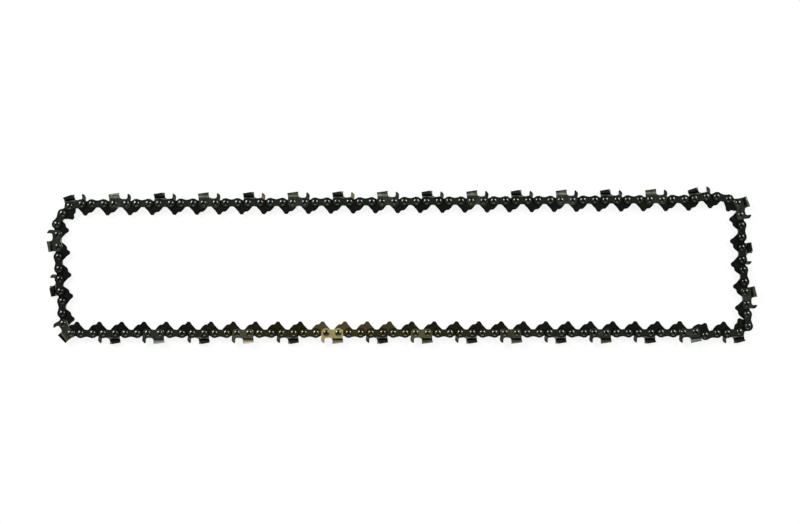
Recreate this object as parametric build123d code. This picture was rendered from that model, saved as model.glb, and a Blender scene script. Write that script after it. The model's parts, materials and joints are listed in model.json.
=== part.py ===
from build123d import *
from math import cos, radians, sin, tan
import numpy
import os

# Saw chain loop lying flat on its side, in millimetres and degrees.
# X runs along the long rows, Z is up along the rivets, and Z = 0 is what it lies on.

# Links along the chain
pitch = 9.525               # half the distance over three rivets in a row
drive_span = 8.77           # between the two rivets of a drive link
gauge = 1.5                 # drive link thickness, which runs in the bar's groove
strap_thickness = 1.6
side_clearance = 0.05       # running gap between a drive link and each side link

# Drive link, measured from the middle of its two rivets
ear_radius = 4.0
ear_saddle_angle = 60       # from the rivet line up to where an ear runs into the saddle
ear_rear_angle = 20         # from the rivet line down to where the rear ear ends
ear_front_angle = 15        # the same at the front ear
saddle_height = 2.3
rear_heel_back = 7.6
rear_heel_depth = 3.4
tang_depth = 9.9
tip_width = 2.2
tip_set_back = 1.1
scoop_depth = 7.6
scoop_forward = 1.2
shoulder_depth = 6.9
shoulder_forward = 4.7
front_heel_forward = 7.7
front_heel_depth = 3.7

# Tie strap, and the lower edge of a cutter's foot
strap_radius = 4.2
strap_end_angle = 100       # half of a round end
waist_height = 2.9

# Cutter, measured from the middle of its two rivets
tail_length = 9.0
nose_length = 9.1
gullet_radius = 3.4
gullet_forward = 2.9
gullet_rear_angle = 25      # from level down to where the round starts, at the tooth
gullet_front_angle = 15     # the same at the depth gauge
gullet_height = 6.9         # of the round's middle above the rivet line
depth_gauge_height = 8.6
depth_gauge_back = 6.5
depth_gauge_crown = 1.5     # width of its top
depth_gauge_front = 9.8
depth_gauge_brow = 5.6      # height where it stands furthest forward
tooth_root = 4.6            # height where the side plate flares out from the foot
foot_overlap = 0.6          # height of the foot's plate above that line, inside the tooth
edge_height = 9.3           # height of the cutting corner
heel_height = 8.1           # height of the top plate at its rear end
heel_length = 9.6           # rear end of the top plate, behind the middle
corner_back = 0.8           # cutting corner, behind the middle
side_plate_rake = 1.8       # how far the side plate's foot stands ahead of the corner
corner_reach = 3.6          # cutting corner, out from the middle of the chain's width
flare_height = 6.2          # here the flare ends and the side plate stands upright
top_plate_reach = 0.8       # far edge of the top plate, past the middle of the width
top_plate_thickness = 1.2
bend_size = 1.1             # reach of the flat that stands for the bend into the top plate
edge_angle = 30             # slant of the cutting edge across the chain
grinding_allowance = 1      # length of the tooth's blank past its ground front and rear

# Rivet
head_radius = 2.8
head_height = 0.9
hub_radius = 2.35
hub_clearance = 0.05
open_pivot_clearance = 0.2  # at the one pivot that closes the loop

# Few flats stand for each round, because some 360 pieces share one model
head_sides = 7
hub_sides = 16
end_sides = 3
ear_sides = 2

# The loop as it lies: the direction of each link, clockwise from the top row's left end
row_set_count = 13          # a set is two drive links, a cutter's pair and a pair of tie straps
set_link_count = 4
top_row_angle = 0.5
bottom_row_angle = -180
top_right_turn = [4, 10, 0, -12, -23, -77, -86]
right_end_turn = [-89, -89, -89, -84, -84, -84, -84, -89]
bottom_right_turn = [-85, -147, -174, -180, -170, -200, -176]
bottom_left_turn = [-234, -265]
left_end_turn = [-269, -260, -267, -267, -267, -267, -267, -267]
top_left_turn = [-298, -313, -350]
closing_rounds = 8

side_span = 2 * pitch - drive_span
side_inner = gauge / 2 + side_clearance
side_outer = side_inner + strap_thickness
middle_height = corner_reach
half_turn = 180
sides = {"right": 1, "left": -1}


def arc(centre_x, radius, start, end, flats=end_sides):
    """Points on a round stretch about a point of the rivet line, anticlockwise."""
    angles = [radians(start + (end - start) * i / flats) for i in range(flats + 1)]
    return [(centre_x + radius * cos(a), radius * sin(a)) for a in angles]


def plate(outline, low, high):
    """A flat piece with this outline, between two heights."""
    return Pos(0, 0, low) * extrude(make_face(Polyline(*outline, close=True)), high - low)


def on_side(side, piece):
    """A piece made for the upper side of the chain, on that side or mirrored to the lower."""
    return piece if side > 0 else mirror(piece, about=Plane.XY)


def drive_link():
    """Two ears on their rivets, and the hooked tang that runs in the bar's groove."""
    half = drive_span / 2
    rear_ear = arc(-half, ear_radius, ear_saddle_angle, half_turn + ear_rear_angle, ear_sides)
    tang = [
        (-rear_heel_back, -rear_heel_depth),
        (-tip_set_back - tip_width / 2, -tang_depth),
        (-tip_set_back + tip_width / 2, -tang_depth),
        (scoop_forward, -scoop_depth),
        (shoulder_forward, -shoulder_depth),
        (front_heel_forward, -front_heel_depth),
    ]
    front_ear = arc(half, ear_radius, -ear_front_angle, half_turn - ear_saddle_angle, ear_sides)
    return plate(rear_ear + tang + front_ear + [(0, saddle_height)], -gauge / 2, gauge / 2)


def hub_prism(radius, length):
    """A round of the hub's few sides, which a bore and the hub in it share."""
    return extrude(RegularPolygon(radius, hub_sides).face(), length / 2, both=True)


def hinged_drive_link(clearance):
    """A drive link with a bore at its front end, which turns on a rivet's hub."""
    bore_radius = (hub_radius + clearance) / cos(radians(half_turn / hub_sides))
    return drive_link() - Pos(drive_span / 2, 0, 0) * hub_prism(bore_radius, 2 * gauge)


def tie_strap(side):
    """The plain side link: two round ends and a waist."""
    half = side_span / 2
    front = arc(half, strap_radius, -strap_end_angle, strap_end_angle)
    rear = arc(-half, strap_radius, half_turn - strap_end_angle, half_turn + strap_end_angle)
    outline = front + [(0, waist_height)] + rear + [(0, -waist_height)]
    return on_side(side, plate(outline, side_inner, side_outer))


def cutter_foot():
    """The flat part of a cutter: foot, round gullet and depth gauge."""
    half = side_span / 2
    corner = strap_radius / 2  # also half of each flat that runs on the bar's rail
    gullet_end = 2 * half_turn - gullet_front_angle
    gullet = arc(gullet_forward, gullet_radius, half_turn + gullet_rear_angle, gullet_end)
    gullet = [(x, y + gullet_height) for x, y in gullet]
    outline = [
        (-tail_length, tooth_root + foot_overlap),
        (-tail_length, -corner),
        (-half - corner, -strap_radius),
        (-half + corner, -strap_radius),
        (0, -waist_height),
        (half - corner, -strap_radius),
        (half + corner, -strap_radius),
        (nose_length, -corner),
        (depth_gauge_front, depth_gauge_brow),
        (depth_gauge_back + depth_gauge_crown, depth_gauge_height),
        (depth_gauge_back, depth_gauge_height),
    ]
    return plate(outline + gullet[::-1], side_inner, side_outer)


def tooth_blank():
    """Flare, side plate, bend and top plate as one bent strip, drawn along the fall of the top plate."""
    fall = (edge_height - heel_height) / (heel_length - corner_back)
    rear_x = -heel_length - grinding_allowance
    rear_drop = fall * (rear_x + corner_back)
    roof = edge_height - top_plate_thickness
    section = [
        (side_outer, tooth_root),
        (corner_reach, flare_height),
        (corner_reach, edge_height - bend_size),
        (corner_reach - bend_size, edge_height),
        (-top_plate_reach, edge_height),
        (-top_plate_reach, roof),
        (corner_reach - top_plate_thickness, roof),
        (side_inner, tooth_root),
    ]
    rear = make_face(Polyline(*[(rear_x, y + rear_drop, z) for z, y in section], close=True))
    length = heel_length + side_plate_rake + 2 * grinding_allowance
    return extrude(rear, length, dir=(1, fall, 0))


def tooth():
    """The bent strip, ground off at the heel and at the cutting edge."""
    heel_lean = (heel_length - tail_length) / (heel_height - tooth_root)
    edge_lean = side_plate_rake / (edge_height - tooth_root)
    slant = tan(radians(edge_angle))
    heel = Plane((-tail_length, tooth_root, 0), z_dir=(1, heel_lean, 0))
    edge = Plane((-corner_back, edge_height, corner_reach - bend_size), z_dir=(1, edge_lean, -slant))
    return split(split(tooth_blank(), heel, Keep.TOP), edge, Keep.BOTTOM)


def cutter(side):
    """Foot and tooth in one piece: the side plate flares out and bends over the chain."""
    return on_side(side, cutter_foot() + tooth())


def rivet_head(side):
    """Low domed head, spun down on the side link."""
    rim = RegularPolygon(head_radius, head_sides).face()
    head = loft([rim, Vertex(0, 0, head_height)])
    return on_side(side, Pos(0, 0, side_outer) * head)


def rivet_hub():
    """The thick middle of a rivet between two side links, which a drive link turns on."""
    return hub_prism(hub_radius, gauge + 2 * side_clearance)


# Where each run of the loop starts: at the rear rivet of a pair of tie straps
row_links = set_link_count * row_set_count + 2
right_start = row_links + len(top_right_turn)
bottom_start = right_start + len(right_end_turn)
left_start = bottom_start + len(bottom_right_turn) + row_links + 1 + len(bottom_left_turn)
top_start = left_start + len(left_end_turn)
run_starts = {
    "right_run": right_start,
    "bottom_run": bottom_start,
    "left_run": left_start,
    "top_run": top_start,
}
open_pivot = bottom_start

directions = [top_row_angle] * row_links + top_right_turn + right_end_turn + bottom_right_turn
directions += [bottom_row_angle] * (row_links + 1) + bottom_left_turn
directions += left_end_turn + top_left_turn
links_in_loop = len(directions)
numbers = numpy.arange(links_in_loop)
spans = numpy.where(numbers % 2 == 0, drive_span, side_span)


def close_loop():
    """Ease the directions by the least that closes the loop and makes its two ends equal."""
    in_right_end = (numbers >= right_start) & (numbers < bottom_start)
    in_left_end = (numbers >= left_start) & (numbers < top_start)
    sums = numpy.array([numbers >= 0, in_right_end | in_left_end], float)
    angles = numpy.radians(directions)
    for _ in range(closing_rounds):
        along = spans * numpy.cos(angles)
        across = spans * numpy.sin(angles)
        misfit = numpy.concatenate([sums @ along, sums @ across])
        slopes = numpy.concatenate([-sums * across, sums * along])
        angles = angles - numpy.linalg.pinv(slopes) @ misfit
    steps = numpy.stack([spans * numpy.cos(angles), spans * numpy.sin(angles)], axis=1)
    return numpy.degrees(angles), numpy.cumsum(steps, axis=0) - steps


turns, rivets = close_loop()


def run_of(number):
    """The run that a link belongs to."""
    passed = [run for run, start in run_starts.items() if number >= start]
    return passed[-1] if passed else "top_run"


def at_link(number, piece):
    """A piece, moved to the middle of a link and turned with it."""
    x, y = (rivets[number] + rivets[(number + 1) % links_in_loop]) / 2
    return Pos(x, y, middle_height) * Rot(0, 0, turns[number]) * piece


def at_rivet(number, side_link, piece):
    """A piece, moved to a rivet and turned with the side link that holds it."""
    x, y = rivets[number]
    return Pos(x, y, middle_height) * Rot(0, 0, turns[side_link]) * piece


def chain_pieces():
    """Every piece of the loop in its place, listed by node."""
    nodes = {}

    def add(node, piece):
        nodes.setdefault(node, []).append(piece)

    plain_link = drive_link()
    straps = {side: tie_strap(side) for side in sides.values()}
    cutters = {side: cutter(side) for side in sides.values()}
    heads = {side: rivet_head(side) for side in sides.values()}
    for number in range(links_in_loop):
        run = run_of(number)
        next_rivet = (number + 1) % links_in_loop
        if number % 2 == 0:
            link = plain_link
            if next_rivet in run_starts.values():
                at_open = next_rivet == open_pivot
                link = hinged_drive_link(open_pivot_clearance if at_open else hub_clearance)
            add(f"{run}_drive_links", at_link(number, link))
            continue
        set_number, place_in_set = divmod(number, set_link_count)
        hand = list(sides)[set_number % len(sides)] if place_in_set == set_link_count - 1 else None
        for name, side in sides.items():
            if name == hand:
                count = set_number // len(sides) + 1
                add(f"{name}_cutter_{count:02d}", at_link(number, cutters[side]))
            else:
                add(f"{run}_tie_straps", at_link(number, straps[side]))
            for rivet in (number, next_rivet):
                add(f"{run}_rivets", at_rivet(rivet, number, heads[side]))
        if number in run_starts.values():
            add(f"{run}_rivets", at_rivet(number, number, rivet_hub()))
    return nodes


nodes = chain_pieces()
boxes = [piece.bounding_box() for pieces in nodes.values() for piece in pieces]
middle_x = (min(box.min.X for box in boxes) + max(box.max.X for box in boxes)) / 2
middle_y = (min(box.min.Y for box in boxes) + max(box.max.Y for box in boxes)) / 2
to_middle = Pos(-middle_x, -middle_y, 0)

os.makedirs("parts", exist_ok=True)
for node, pieces in nodes.items():
    placed = [to_middle * piece for piece in pieces]
    export_step(placed[0] if len(placed) == 1 else Compound(children=placed), f"parts/{node}.step")
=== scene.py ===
import json
from math import atan2, cos, dist, inf, pi, radians, sin, tan

import bmesh
import bpy
from mathutils import Matrix, Vector

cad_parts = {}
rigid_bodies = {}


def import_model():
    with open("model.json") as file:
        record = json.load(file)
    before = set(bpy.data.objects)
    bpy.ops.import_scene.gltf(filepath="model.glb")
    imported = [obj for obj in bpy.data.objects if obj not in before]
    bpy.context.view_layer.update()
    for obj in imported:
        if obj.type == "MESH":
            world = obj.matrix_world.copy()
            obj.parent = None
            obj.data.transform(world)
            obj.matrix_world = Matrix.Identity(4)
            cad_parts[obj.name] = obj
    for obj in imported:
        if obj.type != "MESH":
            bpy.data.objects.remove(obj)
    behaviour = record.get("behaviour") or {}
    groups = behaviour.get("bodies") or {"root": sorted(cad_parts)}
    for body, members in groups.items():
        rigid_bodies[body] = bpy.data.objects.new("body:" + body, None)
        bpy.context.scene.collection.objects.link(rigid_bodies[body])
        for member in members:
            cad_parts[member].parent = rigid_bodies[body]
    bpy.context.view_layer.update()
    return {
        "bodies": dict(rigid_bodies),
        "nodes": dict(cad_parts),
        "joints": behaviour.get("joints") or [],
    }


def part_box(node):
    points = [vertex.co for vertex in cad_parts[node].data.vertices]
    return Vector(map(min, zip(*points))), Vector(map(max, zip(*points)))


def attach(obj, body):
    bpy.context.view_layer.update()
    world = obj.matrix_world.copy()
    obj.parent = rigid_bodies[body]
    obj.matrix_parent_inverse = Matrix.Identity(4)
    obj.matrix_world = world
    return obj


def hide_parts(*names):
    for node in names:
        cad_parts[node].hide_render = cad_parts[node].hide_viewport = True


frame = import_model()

mm = 0.001


# Pitch line. Every link hangs on two neighbouring rivets, so the loop is the round of rivet
# places. The upper head of each rivet comes to a point in the frame, and that point is its
# place; the round starts at the left fold and goes clockwise, seen from above.
same_place = 1 * mm
same_height = 0.01 * mm


def rivet_places(run):
    """The places of a run's rivets, where their upper heads are highest."""
    corners = [corner.co for corner in frame["nodes"][f"{run}_rivets"].data.vertices]
    top = max(corner.z for corner in corners)
    places = []
    for corner in corners:
        place = (corner.x, corner.y)
        known = any(dist(place, other) < same_place for other in places)
        if corner.z > top - same_height and not known:
            places.append(place)
    return places


run_of_rivet = {place: run for run in frame["bodies"] for place in rivet_places(run)}
left_fold = frame["joints"][0]
fold_place = left_fold["pos_m"][:2]
chain_middle = left_fold["pos_m"][2]
left_end = [place for place, run in run_of_rivet.items() if run == left_fold["child"]]
pitch_line = sorted(left_end, key=lambda place: dist(place, fold_place))[:2]
waiting = [place for place in run_of_rivet if place not in pitch_line]
while waiting:
    nearest = min(waiting, key=lambda place: dist(place, pitch_line[-1]))
    pitch_line.append(nearest)
    waiting.remove(nearest)

links = []
for rear, front in zip(pitch_line, pitch_line[1:] + pitch_line[:1]):
    middle = ((rear[0] + front[0]) / 2, (rear[1] + front[1]) / 2)
    heading = atan2(front[1] - rear[1], front[0] - rear[0])
    link = {"middle": middle, "heading": heading}
    link["run"] = run_of_rivet[rear]
    link["span"] = dist(rear, front)
    links.append(link)
side_links = links[0::2]
drive_links = links[1::2]


# Drive links. Each is one stamping of hardened steel, blued and oiled: two ears on their
# rivets, and a hooked tang that runs in the bar's groove and carries oil round with it.
# They sit between the side links, and one run of them is one piece for each part of the loop.
gauge = 1.5 * mm
drive_span = drive_links[0]["span"]
ear_radius = 4.0 * mm
saddle_height = 2.3 * mm
tang_tip_depth = 9.9 * mm
scoop_middle = (2.9 * mm, -9.9 * mm)
scoop_radius = 2.5 * mm
edge_slope = 0.7
# Painted shade: the sloping edges of the drive links and tie straps, and a border inside them, are
# darkened.
painted_dark_edge = {"edge": 0.3 * mm, "border": 0.5 * mm, "edge_light_and_shade": 0.05}
grain_depth = 0.02 * mm
oil_roughness = 0.08
blued_steel = (0.0095, 0.0122, 0.008)
worn_steel = (0.090, 0.100, 0.082)
straw_steel = (0.15, 0.12, 0.05)
shaded_steel = (0.0065, 0.0082, 0.0066)
warm_steel = (0.031, 0.029, 0.006)
end_runs = ("left_run", "right_run")


def arc(centre, radius, start, end, steps):
    """Points on a round stretch, from one angle in degrees to another."""
    angles = [radians(start + (end - start) * step / steps) for step in range(steps + 1)]
    return [(centre[0] + radius * cos(a), centre[1] + radius * sin(a)) for a in angles]


def inset(outline, amount):
    """The same outline, drawn in by this much."""
    points = [Vector(point) for point in outline]
    drawn = []
    for before, point, after in zip(points[-1:] + points[:-1], points, points[1:] + points[:1]):
        first = (point - before).orthogonal().normalized()
        second = (after - point).orthogonal().normalized()
        drawn.append(point + (first + second) * amount / (1 + first.dot(second)))
    return [tuple(point) for point in drawn]


def stamping(name, outline, low, high, edge, border, edge_light_and_shade):
    """A flat piece with this outline between two heights; its sloping edges and border carry painted light
    and shade.
    """
    count = len(outline)
    drop = edge * edge_slope
    flat = inset(outline, edge)
    inside_painted_border = inset(outline, edge + border)
    levels = ((flat, low), (outline, low + drop), (outline, high - drop), (flat, high), (inside_painted_border, high))
    corners = [(x, y, level) for points, level in levels for x, y in points]
    faces = [tuple(range(count))[::-1], tuple(range(4 * count, 5 * count))]
    for ring in range(0, 4 * count, count):
        for n in range(count):
            m = (n + 1) % count
            faces.append((ring + n, ring + m, ring + count + m, ring + count + n))
    mesh = bpy.data.meshes.new(name)
    mesh.from_pydata(corners, [], faces)
    painted_light_and_shade = [1.0] * count + [edge_light_and_shade] * 3 * count + [1.0] * count
    mesh.attributes.new("painted_light_and_shade", "FLOAT", "POINT").data.foreach_set("value", painted_light_and_shade)
    return mesh


def link_tree():
    """Tree that sets a link on every point of a run, turned along the chain."""
    tree = bpy.data.node_groups.new("links_along_the_chain", "GeometryNodeTree")
    sockets = tree.interface
    sockets.new_socket("Places", in_out="INPUT", socket_type="NodeSocketGeometry")
    sockets.new_socket("Link", in_out="INPUT", socket_type="NodeSocketObject")
    sockets.new_socket("Finish", in_out="INPUT", socket_type="NodeSocketMaterial")
    sockets.new_socket("Least tone", in_out="INPUT", socket_type="NodeSocketFloat")
    sockets.new_socket("Most tone", in_out="INPUT", socket_type="NodeSocketFloat")
    sockets.new_socket("Seed", in_out="INPUT", socket_type="NodeSocketInt")
    sockets.new_socket("Run", in_out="OUTPUT", socket_type="NodeSocketGeometry")
    nodes = tree.nodes
    given = nodes.new("NodeGroupInput")
    made = nodes.new("NodeGroupOutput")
    heading = nodes.new("GeometryNodeInputNamedAttribute")
    heading.data_type = "FLOAT"
    heading.inputs["Name"].default_value = "heading"
    euler = nodes.new("ShaderNodeCombineXYZ")
    turn = nodes.new("FunctionNodeEulerToRotation")
    shape = nodes.new("GeometryNodeObjectInfo")
    instances = nodes.new("GeometryNodeInstanceOnPoints")
    tone = nodes.new("FunctionNodeRandomValue")
    tone.data_type = "FLOAT"
    keep_tone = nodes.new("GeometryNodeStoreNamedAttribute")
    keep_tone.data_type = "FLOAT"
    keep_tone.domain = "INSTANCE"
    keep_tone.inputs["Name"].default_value = "tone"
    realize = nodes.new("GeometryNodeRealizeInstances")
    finish = nodes.new("GeometryNodeSetMaterial")
    join = tree.links.new
    tone_limits = [socket for socket in tone.inputs if socket.type == "VALUE"]
    join(given.outputs["Least tone"], tone_limits[0])
    join(given.outputs["Most tone"], tone_limits[1])
    join(given.outputs["Seed"], tone.inputs["Seed"])
    join(heading.outputs["Attribute"], euler.inputs["Z"])
    join(euler.outputs["Vector"], turn.inputs["Euler"])
    join(given.outputs["Link"], shape.inputs["Object"])
    join(given.outputs["Places"], instances.inputs["Points"])
    join(shape.outputs["Geometry"], instances.inputs["Instance"])
    join(turn.outputs["Rotation"], instances.inputs["Rotation"])
    join(instances.outputs["Instances"], keep_tone.inputs["Geometry"])
    join([socket for socket in tone.outputs if socket.type == "VALUE"][0], keep_tone.inputs["Value"])
    join(keep_tone.outputs["Geometry"], realize.inputs["Geometry"])
    join(realize.outputs["Geometry"], finish.inputs["Geometry"])
    join(given.outputs["Finish"], finish.inputs["Material"])
    join(finish.outputs["Geometry"], made.inputs["Run"])
    return tree


links_along_the_chain = link_tree()
pattern_holder = bpy.data.collections.new("patterns")
bpy.context.scene.collection.children.link(pattern_holder)


def strung(name, places, pattern, finish, tones, seed):
    """One plain mesh of a pattern at every place, which is (x, y, heading, tint, tooth tint).

    The tooth tint may have a fourth value, the share of wear and oil that this tooth has.
    """
    points = bpy.data.meshes.new(f"{name}_places")
    points.from_pydata([(place[0], place[1], chain_middle) for place in places], [], [])
    headings = [place[2] for place in places]
    points.attributes.new("heading", "FLOAT", "POINT").data.foreach_set("value", headings)
    for index, tint in ((3, "tint"), (4, "tooth_tint")):
        channels = [channel for place in places for channel in (*place[index], 1)[:4]]
        points.attributes.new(tint, "FLOAT_COLOR", "POINT").data.foreach_set("color", channels)
    piece = bpy.data.objects.new(name, points)
    bpy.context.scene.collection.objects.link(piece)
    model = bpy.data.objects.new(f"{name}_pattern", pattern)
    pattern_holder.objects.link(model)
    modifier = piece.modifiers.new("links", "NODES")
    modifier.node_group = links_along_the_chain
    settings = {"Link": model, "Finish": finish, "Seed": seed}
    settings["Least tone"], settings["Most tone"] = tones
    for socket in links_along_the_chain.interface.items_tree:
        if socket.in_out == "INPUT" and socket.name in settings:
            modifier[socket.identifier] = settings[socket.name]
    graph = bpy.context.evaluated_depsgraph_get()
    mesh = bpy.data.meshes.new_from_object(piece.evaluated_get(graph), depsgraph=graph)
    piece.modifiers.remove(modifier)
    mesh.name = name
    piece.data = mesh
    bpy.data.objects.remove(model)
    bpy.data.meshes.remove(points)
    return piece


def oil_film():
    """Group: patches of oil and handling over a steel surface, in the chain's own space."""
    group = bpy.data.node_groups.new("oil_film", "ShaderNodeTree")
    sockets = {
        "INPUT": {
            "Steel": "Color",
            "Worn steel": "Color",
            "Wear": "Float",
            "Oil": "Float",
            "Roughness": "Float",
        },
        "OUTPUT": {"Color": "Color", "Roughness": "Float", "Film": "Float", "Height": "Float"},
    }
    for way, kinds in sockets.items():
        for name, kind in kinds.items():
            group.interface.new_socket(name, in_out=way, socket_type=f"NodeSocket{kind}")
    nodes = group.nodes
    join = group.links.new
    given = nodes.new("NodeGroupInput")
    made = nodes.new("NodeGroupOutput")
    place = nodes.new("ShaderNodeTexCoord")

    def noise(scale, detail):
        """Cloudy pattern in the chain's own space."""
        clouds = nodes.new("ShaderNodeTexNoise")
        clouds.inputs["Scale"].default_value = scale
        clouds.inputs["Detail"].default_value = detail
        join(place.outputs["Object"], clouds.inputs["Vector"])
        return clouds.outputs["Fac"]

    patches = noise(scale=260, detail=4)
    join(noise(scale=1500, detail=3), made.inputs["Height"])

    def times(first, second, clamp=False):
        """Product of two values."""
        product = nodes.new("ShaderNodeMath")
        product.operation = "MULTIPLY"
        product.use_clamp = clamp
        join(first, product.inputs[0])
        join(second, product.inputs[1])
        return product.outputs["Value"]

    def spread(low, high, least, most):
        """Value that goes from least to most as the patches go from low to high."""
        ramp = nodes.new("ShaderNodeMapRange")
        for socket, value in zip(("From Min", "From Max", "To Min", "To Max"), (low, high, least, most)):
            ramp.inputs[socket].default_value = value
        join(patches, ramp.inputs["Value"])
        return ramp.outputs["Result"]

    def mixed(blend, first, second, factor):
        """Two colours blended."""
        mix = nodes.new("ShaderNodeMix")
        mix.data_type = "RGBA"
        mix.blend_type = blend
        colours = [socket for socket in mix.inputs if socket.type == "RGBA"]
        join(first, colours[0])
        join(second, colours[1])
        join(factor, mix.inputs["Factor"])
        return [socket for socket in mix.outputs if socket.type == "RGBA"][0]

    tone = nodes.new("ShaderNodeAttribute")
    tone.attribute_name = "tone"
    # Painted light and shade: this attribute scales the steel's colour and its oil film up and down.
    painted_light_and_shade = nodes.new("ShaderNodeAttribute")
    painted_light_and_shade.attribute_name = "painted_light_and_shade"
    shade = times(tone.outputs["Fac"], painted_light_and_shade.outputs["Fac"])
    worn = times(spread(low=0.48, high=0.72, least=0, most=1), given.outputs["Wear"])
    steel = mixed("MIX", given.outputs["Steel"], given.outputs["Worn steel"], worn)
    full = nodes.new("ShaderNodeValue")
    full.outputs["Value"].default_value = 1
    join(mixed("MULTIPLY", steel, shade, full.outputs["Value"]), made.inputs["Color"])
    rough = times(spread(low=0.3, high=0.7, least=0.8, most=1.4), given.outputs["Roughness"])
    join(rough, made.inputs["Roughness"])
    oil = times(spread(low=0.35, high=0.6, least=0.9, most=0.4), given.outputs["Oil"])
    join(times(oil, painted_light_and_shade.outputs["Fac"], clamp=True), made.inputs["Film"])
    return group


film_over_steel = oil_film()


def oiled_steel(name, worn, wear, oil, roughness, bump):
    """Finish of a hardened steel piece: its tint is its own, and oil lies over it in patches."""
    finish = bpy.data.materials.new(name)
    finish.use_nodes = True
    nodes = finish.node_tree.nodes
    join = finish.node_tree.links.new
    surface = nodes["Principled BSDF"]
    surface.inputs["Metallic"].default_value = 1
    surface.inputs["Coat Roughness"].default_value = oil_roughness
    tint = nodes.new("ShaderNodeMix")
    tint.data_type = "RGBA"
    tint_sockets = [tint.inputs["Factor"]] + [socket for socket in tint.inputs if socket.type == "RGBA"]
    own_attribute = {}
    sources = (("tooth", "Fac"), ("tint", "Color"), ("tooth_tint", "Color"))
    for (attribute, output), socket in zip(sources, tint_sockets):
        own_attribute[attribute] = nodes.new("ShaderNodeAttribute")
        own_attribute[attribute].attribute_name = attribute
        join(own_attribute[attribute].outputs[output], socket)
    film = nodes.new("ShaderNodeGroup")
    film.node_tree = film_over_steel
    film.inputs["Worn steel"].default_value = (*worn, 1)
    share = nodes.new("ShaderNodeMix")
    share.inputs["A"].default_value = 1
    join(own_attribute["tooth"].outputs["Fac"], share.inputs["Factor"])
    join(own_attribute["tooth_tint"].outputs["Alpha"], share.inputs["B"])
    for socket, full in (("Wear", wear), ("Oil", oil)):
        amount = nodes.new("ShaderNodeMath")
        amount.operation = "MULTIPLY"
        amount.inputs[1].default_value = full
        join(share.outputs["Result"], amount.inputs[0])
        join(amount.outputs["Value"], film.inputs[socket])
    film.inputs["Roughness"].default_value = roughness
    relief = nodes.new("ShaderNodeBump")
    relief.inputs["Strength"].default_value = bump
    relief.inputs["Distance"].default_value = grain_depth
    join([socket for socket in tint.outputs if socket.type == "RGBA"][0], film.inputs["Steel"])
    join(film.outputs["Color"], surface.inputs["Base Color"])
    join(film.outputs["Roughness"], surface.inputs["Roughness"])
    join(film.outputs["Film"], surface.inputs["Coat Weight"])
    join(film.outputs["Height"], relief.inputs["Height"])
    join(relief.outputs["Normal"], surface.inputs["Normal"])
    return finish


def tang_outline():
    """Outline of a drive link, about the middle of its two rivets."""
    half = drive_span / 2
    rear_ear = arc((-half, 0), ear_radius, 60, 200, 5)
    rear_edge = [(-7.6 * mm, -3.4 * mm), (-4.1 * mm, -7.1 * mm), (-3.2 * mm, -8.7 * mm)]
    tip = [(-2.2 * mm, -tang_tip_depth), (-0.2 * mm, -tang_tip_depth), (0.4 * mm, -9.1 * mm)]
    scoop = arc(scoop_middle, scoop_radius, 150, 75, 4)
    shoulder = [(4.6 * mm, -7.0 * mm), (5.8 * mm, -5.9 * mm), (7.7 * mm, -3.7 * mm)]
    front_ear = arc((half, 0), ear_radius, -15, 120, 5)
    saddle = [(0, saddle_height)]
    return rear_ear + rear_edge + tip + scoop + shoulder + front_ear + saddle


gold_cutter = "right_cutter_14"
gold_place = [sum(pair) / 2 for pair in zip(*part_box(gold_cutter))][:2]
straw_range = (-14 * mm, 52 * mm)
warm_middle = 20 * mm
warm_reach = 190 * mm
row_reach = 40 * mm


def past_gold(place):
    """How far to the right of the gold cutter a place of its row is, and endless off that row."""
    in_row = abs(place[1] - gold_place[1]) < row_reach
    return place[0] - gold_place[0] if in_row else inf


def warmed(place, plain, warm):
    """Tint of steel at a place: plain, but warmer along the bottom row towards the gold cutter."""
    warmth = max(1 - abs(past_gold(place) - warm_middle) / warm_reach, 0)
    return tuple(cold + (hot - cold) * warmth for cold, hot in zip(plain, warm))


drive_link = stamping("drive_link", tang_outline(), -gauge / 2, gauge / 2, **painted_dark_edge)
drive_finish = oiled_steel("blued_drive_link", worn_steel, wear=0.2, oil=0.3, roughness=0.24, bump=0.25)
for run in frame["bodies"]:
    plain = shaded_steel if run in end_runs else blued_steel
    places = []
    for link in drive_links:
        if link["run"] == run:
            straw = straw_range[0] < past_gold(link["middle"]) < straw_range[1]
            tint = straw_steel if straw else warmed(link["middle"], plain, warm_steel)
            places.append((*link["middle"], link["heading"], tint, tint))
    piece = strung(f"{run}_tangs", places, drive_link, drive_finish, tones=(0.8, 1.25), seed=3)
    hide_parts(f"{run}_drive_links")
    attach(piece, run)


# Tie straps. Plain side links stamped from strip, blued and oiled like the drive links, with
# two round ends and a waist between them. They sit in pairs outside the drive links, or alone
# across from a cutter, and the rivets hold them.
side_inner = 0.8 * mm
side_outer = 2.4 * mm
side_span = side_links[0]["span"]
strap_radius = 4.2 * mm
waist_height = 2.9 * mm
waist_radius = 6.0 * mm
strap_steel = (0.025, 0.032, 0.020)
shaded_strap_steel = (0.011, 0.0145, 0.0115)
warm_strap_steel = (0.070, 0.066, 0.014)


def strap_outline():
    """Round ends of a tie strap, and a hollow waist above and below."""
    half = side_span / 2
    front = arc((half, 0), strap_radius, -98, 98, 6)
    upper_waist = arc((0, waist_height + waist_radius), waist_radius, -66, -114, 2)
    rear = arc((-half, 0), strap_radius, 82, 278, 6)
    lower_waist = [(-x, -y) for x, y in upper_waist]
    return front + upper_waist + rear + lower_waist


def on_side(mesh, hand):
    """The upper pattern as it is, or its mirror image for the lower side."""
    if hand == "right":
        return mesh
    other = mesh.copy()
    other.transform(Matrix.Scale(-1, 4, (0, 0, 1)))
    other.flip_normals()
    return other


hands = ("right", "left")
cutters = {}
for node in frame["nodes"]:
    if "_cutter_" in node:
        low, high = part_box(node)
        centre = ((low.x + high.x) / 2, (low.y + high.y) / 2)
        nearest = min(range(len(side_links)), key=lambda n: dist(side_links[n]["middle"], centre))
        cutters[nearest, node.split("_")[0]] = node

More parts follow.
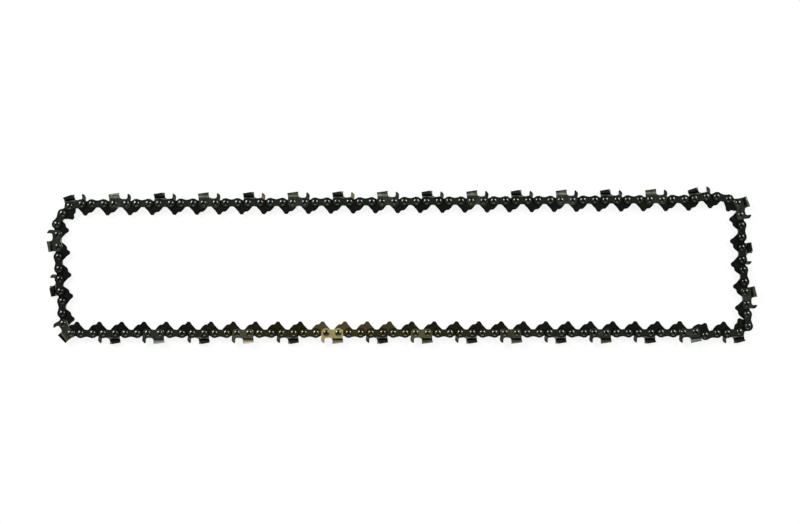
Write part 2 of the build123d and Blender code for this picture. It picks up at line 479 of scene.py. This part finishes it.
strap = stamping("tie_strap", strap_outline(), side_inner, side_outer, **painted_dark_edge)
strap_finish = oiled_steel("blued_strap", worn_steel, wear=0.25, oil=0.45, roughness=0.24, bump=0.25)
for run in frame["bodies"]:
    plain = shaded_strap_steel if run in end_runs else strap_steel
    for hand in hands:
        places = []
        for number, link in enumerate(side_links):
            if link["run"] == run and (number, hand) not in cutters:
                tint = warmed(link["middle"], plain, warm_strap_steel)
                places.append((*link["middle"], link["heading"], tint, tint))
        pattern = on_side(strap, hand)
        piece = strung(f"{run}_{hand}_straps", places, pattern, strap_finish, tones=(0.75, 1.2), seed=5)
        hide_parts(f"{run}_tie_straps")
        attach(piece, run)


# Cutters. Each is one stamped and bent plate in place of a side link: a foot on two rivets, a
# depth gauge in front, a gullet, and a side plate that flares out and bends over into the top
# plate. They are hard-plated, and every other one is the mirror image. One is tinted gold.
tail = 9.0 * mm
gullet_corner = (4.8 * mm, 5.7 * mm)
gullet_corner_radius = 1.7 * mm
gullet_floor = (2.5 * mm, 6.4 * mm)
gullet_floor_radius = 2.4 * mm
hollow_middle = (2.9 * mm, 6.9 * mm)
hollow_radius = 3.4 * mm
front_setback = 0.3 * mm
gauge_top = 8.6 * mm
tooth_root = 4.4 * mm
root_overlap = 0.5 * mm
flare_height = 6.2 * mm
edge_height = 9.3 * mm
heel_height = 8.1 * mm
heel_back = 9.6 * mm
beak = 0.45 * mm
corner_reach = 3.6 * mm
heel_reach = 3.2 * mm
plate_reach = 0.8 * mm
plate_thickness = 1.2 * mm
bend_radius = 1.1 * mm
bend_steps = 4
filed_under = 0.7 * mm
edge_slant = tan(radians(30))
# Painted light and shade on the cutters: foot corners above shaded_height take the gauge's value, and the
# tooth is painted darker at its root as shade.
shaded_height = 5.3 * mm
painted_root_shade = 0.5
plating = (0.024, 0.031, 0.016)
# Far-side cutters take a lighter copy of the plating, painted light.
far_plating_painted_lighter = (0.16, 0.17, 0.14)
silver_plating = (0.14, 0.16, 0.14)
straw_plating = (0.28, 0.26, 0.16)
# The gold cutter's tooth takes a darker, duller copy of its gold plating, painted shade.
painted_shade_gold_plating = (0.12, 0.112, 0.064)
olive_plating = (0.050, 0.052, 0.022)
amber_plating = (0.136, 0.128, 0.047)
bronze_plating = (0.098, 0.098, 0.050)
gold_plating = (0.62, 0.54, 0.20)
bright_gold_plating = (0.9, 0.75, 0.35)
brown_plating = (0.0042, 0.0033, 0.0014, 0.06)
cutter_tints = {
    "right_cutter_10": (plating, silver_plating),
    "right_cutter_12": (olive_plating, plating),
    "right_cutter_13": (amber_plating, plating),
    gold_cutter: (gold_plating, painted_shade_gold_plating),
    "right_cutter_15": (bronze_plating, straw_plating),
    "right_cutter_16": (plating, silver_plating),
    "right_cutter_17": (plating, brown_plating),
    "left_cutter_02": (far_plating_painted_lighter, bright_gold_plating),
    "left_cutter_03": (far_plating_painted_lighter, bright_gold_plating),
}


def foot_outline():
    """The flat of a cutter: foot, gullet and hooked depth gauge."""
    half = side_span / 2
    heel = arc((-half, 0), strap_radius, 200, 265, 3)
    toe = arc((half, 0), strap_radius, 275, 340, 3)
    gauge_front = [(9.2 * mm, 2.5 * mm), (9.6 * mm, 5.4 * mm), (9.3 * mm, 6.8 * mm)]
    gauge_crown = [(8.3 * mm, 7.8 * mm), (7.3 * mm, gauge_top)]
    gauge_back = [(6.7 * mm, 8.3 * mm), (6.5 * mm, 7.2 * mm)]
    gullet = arc(gullet_corner, gullet_corner_radius, 0, -90, 3)
    gullet += arc(gullet_floor, gullet_floor_radius, -90, -135, 3)
    start = [(-tail, tooth_root + root_overlap)]
    foot = start + heel + [(0, -waist_height)] + toe
    return foot + gauge_front + gauge_crown + gauge_back + gullet


def tooth_section(reach, height):
    """Section across the tooth, (out, up): flare, side plate, bend and top plate, outside and inside.

    The bend's points come after the first two.
    """
    middle = (reach - bend_radius, height - bend_radius)
    outer = [(side_outer, tooth_root), (reach, flare_height)] + arc(middle, bend_radius, 0, 90, bend_steps)
    wall = reach - plate_thickness
    roof = height - plate_thickness
    inner = [(-plate_reach, roof), (wall, roof), (wall, flare_height), (side_inner, tooth_root)]
    return outer + [(-plate_reach, height)], inner


def tooth_front(out, up, wall):
    """How far forward the filed front of the tooth stands: round hollow, beak and slanted edge."""
    fall = min(abs(up - hollow_middle[1]), hollow_radius)
    hollow = hollow_middle[0] - (hollow_radius ** 2 - fall ** 2) ** 0.5 - front_setback
    above = max(up - hollow_middle[1], 0) / (edge_height - hollow_middle[1])
    hook = min(hollow, -front_setback) + beak * above if above else hollow
    return hook - edge_slant * (corner_reach - out) * above - wall * filed_under * above


def cutter_mesh(name, foot_edge, tooth_light_and_shade, gauge_light_and_shade, tinted):
    """Foot and tooth of an upper-side cutter, with painted light and shade on the tooth and gauge, and
    where the tooth's tint is.
    """
    mesh = stamping(name, foot_outline(), side_inner, side_outer, **foot_edge)
    shape = bmesh.new()
    shape.from_mesh(mesh)
    painted_light_and_shade = shape.verts.layers.float["painted_light_and_shade"]
    tooth = shape.verts.layers.float.new("tooth")
    for corner in shape.verts:
        if corner.co.y > shaded_height:
            corner[painted_light_and_shade] = gauge_light_and_shade
            corner[tooth] = tinted == "gauge"
    heel = []
    edge = []
    for points in tooth_section(heel_reach, heel_height):
        for out, up in points:
            back = tail + (heel_back - tail) * (up - tooth_root) / (heel_height - tooth_root)
            heel.append(shape.verts.new((-back, up, out)))
    for wall, points in enumerate(tooth_section(corner_reach, edge_height)):
        for out, up in points:
            edge.append(shape.verts.new((tooth_front(out, up, wall), up, out)))
    for corner in heel + edge:
        at_root = corner.co.y < tooth_root + root_overlap
        corner[painted_light_and_shade] = painted_root_shade if at_root else tooth_light_and_shade
        corner[tooth] = tinted == "tooth"
    count = len(heel)
    bend = range(2, 2 + bend_steps)
    ends = [shape.faces.new(heel), shape.faces.new(edge[::-1])]
    for n in range(count):
        m = (n + 1) % count
        wall = shape.faces.new((heel[n], edge[n], edge[m], heel[m]))
        wall.smooth = n in bend
    for end in ends:
        for side in end.edges:
            side.smooth = False
    bmesh.ops.recalc_face_normals(shape, faces=shape.faces)
    shape.to_mesh(mesh)
    shape.free()
    return mesh


# Painted light and shade on the cutters: their edges are darkened, the gold cutter's foot edge is
# brightened as a painted highlight, near-side teeth are painted lighter as lit, and far-side teeth darker
# as shaded.
painted_dim_edge = {"edge": 0.3 * mm, "border": 0.2 * mm, "edge_light_and_shade": 0.6}
painted_bright_edge = {"edge": 0.05 * mm, "border": 0.6 * mm, "edge_light_and_shade": 1.6}
painted_lit_tooth = 2.2
painted_shaded_tooth = 0.2
patterns = {
    "right": cutter_mesh("right_cutter", painted_dim_edge, painted_lit_tooth, gauge_light_and_shade=0.8, tinted="tooth"),
    "left": cutter_mesh("left_cutter", painted_dim_edge, painted_shaded_tooth, gauge_light_and_shade=0.3, tinted="gauge"),
}
patterns["left"] = on_side(patterns["left"], "left")
gold_pattern = cutter_mesh("gold_cutter", painted_bright_edge, painted_lit_tooth, gauge_light_and_shade=1.1, tinted="tooth")
worn_plating = (0.3, 0.31, 0.29)
cutter_finish = oiled_steel("plated_cutter", worn_plating, wear=0.3, oil=0.8, roughness=0.14, bump=0.1)
for run in frame["bodies"]:
    for hand in hands:
        groups = {"plated_cutter": [], "gold_cutter": []}
        for (number, side), node in cutters.items():
            if side == hand and side_links[number]["run"] == run:
                slot = "gold_cutter" if node == gold_cutter else "plated_cutter"
                groups[slot].append((side_links[number], node))
        for slot, members in groups.items():
            if not members:
                continue
            # Near-side cutters take the plain plating, far-side ones its lighter copy, painted light.
            plain = (plating, plating) if hand == "right" else (far_plating_painted_lighter, far_plating_painted_lighter)
            places = []
            for link, node in members:
                tints = cutter_tints.get(node, plain)
                places.append((*link["middle"], link["heading"], *tints))
            pattern = gold_pattern if slot == "gold_cutter" else patterns[hand]
            name = f"{run}_{hand}_{slot}s"
            piece = strung(name, places, pattern, cutter_finish, tones=(0.85, 1.2), seed=11)
            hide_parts(*[node for _, node in members])
            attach(piece, run)


# Rivets. Hardened pins whose ends are spun down over the side links into low round heads,
# blued and glossy with oil. Each side link has four heads, two above and two below.
head_radius = 2.8 * mm
head_height = 0.9 * mm
flat_radius = 0.5 * mm
rim_slope = 43
head_slopes = (rim_slope, 34, 24, 12, 0)
# Painted shade on the rivet heads: darker at the rim and darkest in the middle.
head_painted_shade = (0.3, 1, 1, 0.7, 0.2, 0.15)
rivet_steel = (0.076, 0.086, 0.070)
shaded_rivet_steel = (0.052, 0.058, 0.051)
warm_rivet_steel = (0.128, 0.112, 0.052)


def rivet_heads():
    """The two heads of a rivet outside the side links: flat in the middle, round towards the rim."""
    shape = bmesh.new()
    painted_light_and_shade = shape.verts.layers.float.new("painted_light_and_shade")
    round_radius = (head_radius - flat_radius) / sin(radians(rim_slope))
    profile = []
    for slope in head_slopes:
        out = flat_radius + round_radius * sin(radians(slope))
        profile.append((out, head_height - round_radius * (1 - cos(radians(slope)))))
    around = 12
    angles = [2 * pi * n / around for n in range(around)]
    for way in (1, -1):
        rings = []
        for out, up in profile:
            level = way * (side_outer + up)
            rings.append([shape.verts.new((out * cos(a), out * sin(a), level)) for a in angles])
        crown = shape.verts.new((0, 0, way * (side_outer + head_height)))
        shape.faces.new(rings[0])
        for low, high in zip(rings, rings[1:]):
            for n in range(around):
                m = (n + 1) % around
                shape.faces.new((low[n], low[m], high[m], high[n])).smooth = True
        for n in range(around):
            shape.faces.new((rings[-1][n], rings[-1][(n + 1) % around], crown)).smooth = True
        for ring, value in zip(rings + [[crown]], head_painted_shade):
            for corner in ring:
                corner[painted_light_and_shade] = value
    bmesh.ops.recalc_face_normals(shape, faces=shape.faces)
    mesh = bpy.data.meshes.new("rivet_heads")
    shape.to_mesh(mesh)
    shape.free()
    return mesh


heads = rivet_heads()
head_finish = oiled_steel("blued_rivet", worn_steel, wear=0.2, oil=0.6, roughness=0.23, bump=0.1)
for run in frame["bodies"]:
    plain = shaded_rivet_steel if run in end_runs else rivet_steel
    places = []
    for place in pitch_line:
        if run_of_rivet[place] == run:
            tint = warmed(place, plain, warm_rivet_steel)
            places.append((*place, 0, tint, tint))
    piece = strung(f"{run}_rivet_heads", places, heads, head_finish, tones=(0.85, 1.15), seed=17)
    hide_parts(f"{run}_rivets")
    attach(piece, run)
bpy.data.collections.remove(pattern_holder)


# Studio. The chain lies on a wide white floor under two bright lamps in the north and soft ones
# overhead and on the other sides, and the camera looks straight down on it.
photo_width = 800
photo_height = 524
millimetres_per_pixel = 0.8534
loop_middle_pixel = (402.0, 265.2)
camera_height = 1.6
sensor = 36
floor_radius = 30
paper_glow = 0.86
shadow_share = (0.16, 0.16, 0.16, 1)
paper_white = (0.8, 0.8, 0.8, 1)
room_white = (1, 1, 1, 1)
room_light = 0.05


def studio_floor():
    """Wide round floor under the chain."""
    shape = bmesh.new()
    bmesh.ops.create_circle(shape, cap_ends=True, segments=48, radius=floor_radius)
    mesh = bpy.data.meshes.new("studio_floor")
    shape.to_mesh(mesh)
    shape.free()
    return mesh


def white_paper():
    """White to the eye and in reflections, with a faint shadow left in it."""
    paper = bpy.data.materials.new("white_paper")
    paper.use_nodes = True
    nodes = paper.node_tree.nodes
    join = paper.node_tree.links.new
    nodes.remove(nodes["Principled BSDF"])
    rays = nodes.new("ShaderNodeLightPath")
    seen = nodes.new("ShaderNodeMath")
    seen.operation = "MAXIMUM"
    shown = nodes.new("ShaderNodeMath")
    shown.operation = "MAXIMUM"
    glow = nodes.new("ShaderNodeEmission")
    glow.inputs["Strength"].default_value = paper_glow
    thin = nodes.new("ShaderNodeBsdfDiffuse")
    thin.inputs["Color"].default_value = shadow_share
    both = nodes.new("ShaderNodeAddShader")
    plain = nodes.new("ShaderNodeBsdfDiffuse")
    plain.inputs["Color"].default_value = paper_white
    choice = nodes.new("ShaderNodeMixShader")
    join(rays.outputs["Is Camera Ray"], seen.inputs[0])
    join(rays.outputs["Is Glossy Ray"], seen.inputs[1])
    join(seen.outputs["Value"], shown.inputs[0])
    join(rays.outputs["Is Transmission Ray"], shown.inputs[1])
    join(glow.outputs["Emission"], both.inputs[0])
    join(thin.outputs["BSDF"], both.inputs[1])
    join(shown.outputs["Value"], choice.inputs["Fac"])
    join(plain.outputs["BSDF"], choice.inputs[1])
    join(both.outputs["Shader"], choice.inputs[2])
    join(choice.outputs["Shader"], nodes["Material Output"].inputs["Surface"])
    return paper


floor = bpy.data.objects.new("studio_floor", studio_floor())
floor.data.materials.append(white_paper())
bpy.context.scene.collection.objects.link(floor)


def lamp(name, direction, tilt, distance, width, depth, brightness):
    """A soft box that looks at the loop's middle, from a compass direction and a tilt off upright."""
    light = bpy.data.lights.new(name, "AREA")
    light.shape = "RECTANGLE"
    light.size = width
    light.size_y = depth
    light.energy = brightness * pi * width * depth
    holder = bpy.data.objects.new(name, light)
    out = distance * sin(radians(tilt))
    up = distance * cos(radians(tilt))
    spot = Vector((out * sin(radians(direction)), out * cos(radians(direction)), up))
    holder.location = spot
    holder.rotation_euler = spot.to_track_quat("Z", "Y").to_euler()
    bpy.context.scene.collection.objects.link(holder)


lamp("north_west_lamp", direction=-52, tilt=53, distance=1.6, width=0.65, depth=0.65, brightness=15)
lamp("north_east_lamp", direction=54, tilt=53, distance=1.6, width=0.65, depth=0.65, brightness=11)
lamp("west_lamp", direction=-95, tilt=62, distance=1.8, width=1.4, depth=0.7, brightness=0.6)
lamp("east_lamp", direction=95, tilt=62, distance=1.8, width=1.4, depth=0.7, brightness=0.6)
lamp("south_lamp", direction=180, tilt=32, distance=1.9, width=1.4, depth=0.5, brightness=0.7)
lamp("low_south_lamp", direction=180, tilt=59, distance=1.8, width=1.8, depth=0.85, brightness=1.6)
lamp("top_lamp", direction=0, tilt=0, distance=2.3, width=2.0, depth=0.6, brightness=0.45)

world = bpy.data.worlds.new("dim_room")
world.use_nodes = True
background = world.node_tree.nodes["Background"]
background.inputs["Color"].default_value = room_white
background.inputs["Strength"].default_value = room_light
bpy.context.scene.world = world

view = bpy.data.cameras.new("camera")
view.sensor_width = sensor
view.clip_end = 60
frame_width = photo_width * millimetres_per_pixel * mm
view.lens = sensor * camera_height / frame_width
camera = bpy.data.objects.new("camera", view)
aim_x = (photo_width / 2 - loop_middle_pixel[0]) * millimetres_per_pixel * mm
aim_y = (loop_middle_pixel[1] - photo_height / 2) * millimetres_per_pixel * mm
camera.location = (aim_x, aim_y, camera_height + chain_middle)
bpy.context.scene.collection.objects.link(camera)
bpy.context.scene.camera = camera
bpy.context.scene.view_settings.view_transform = "Standard"
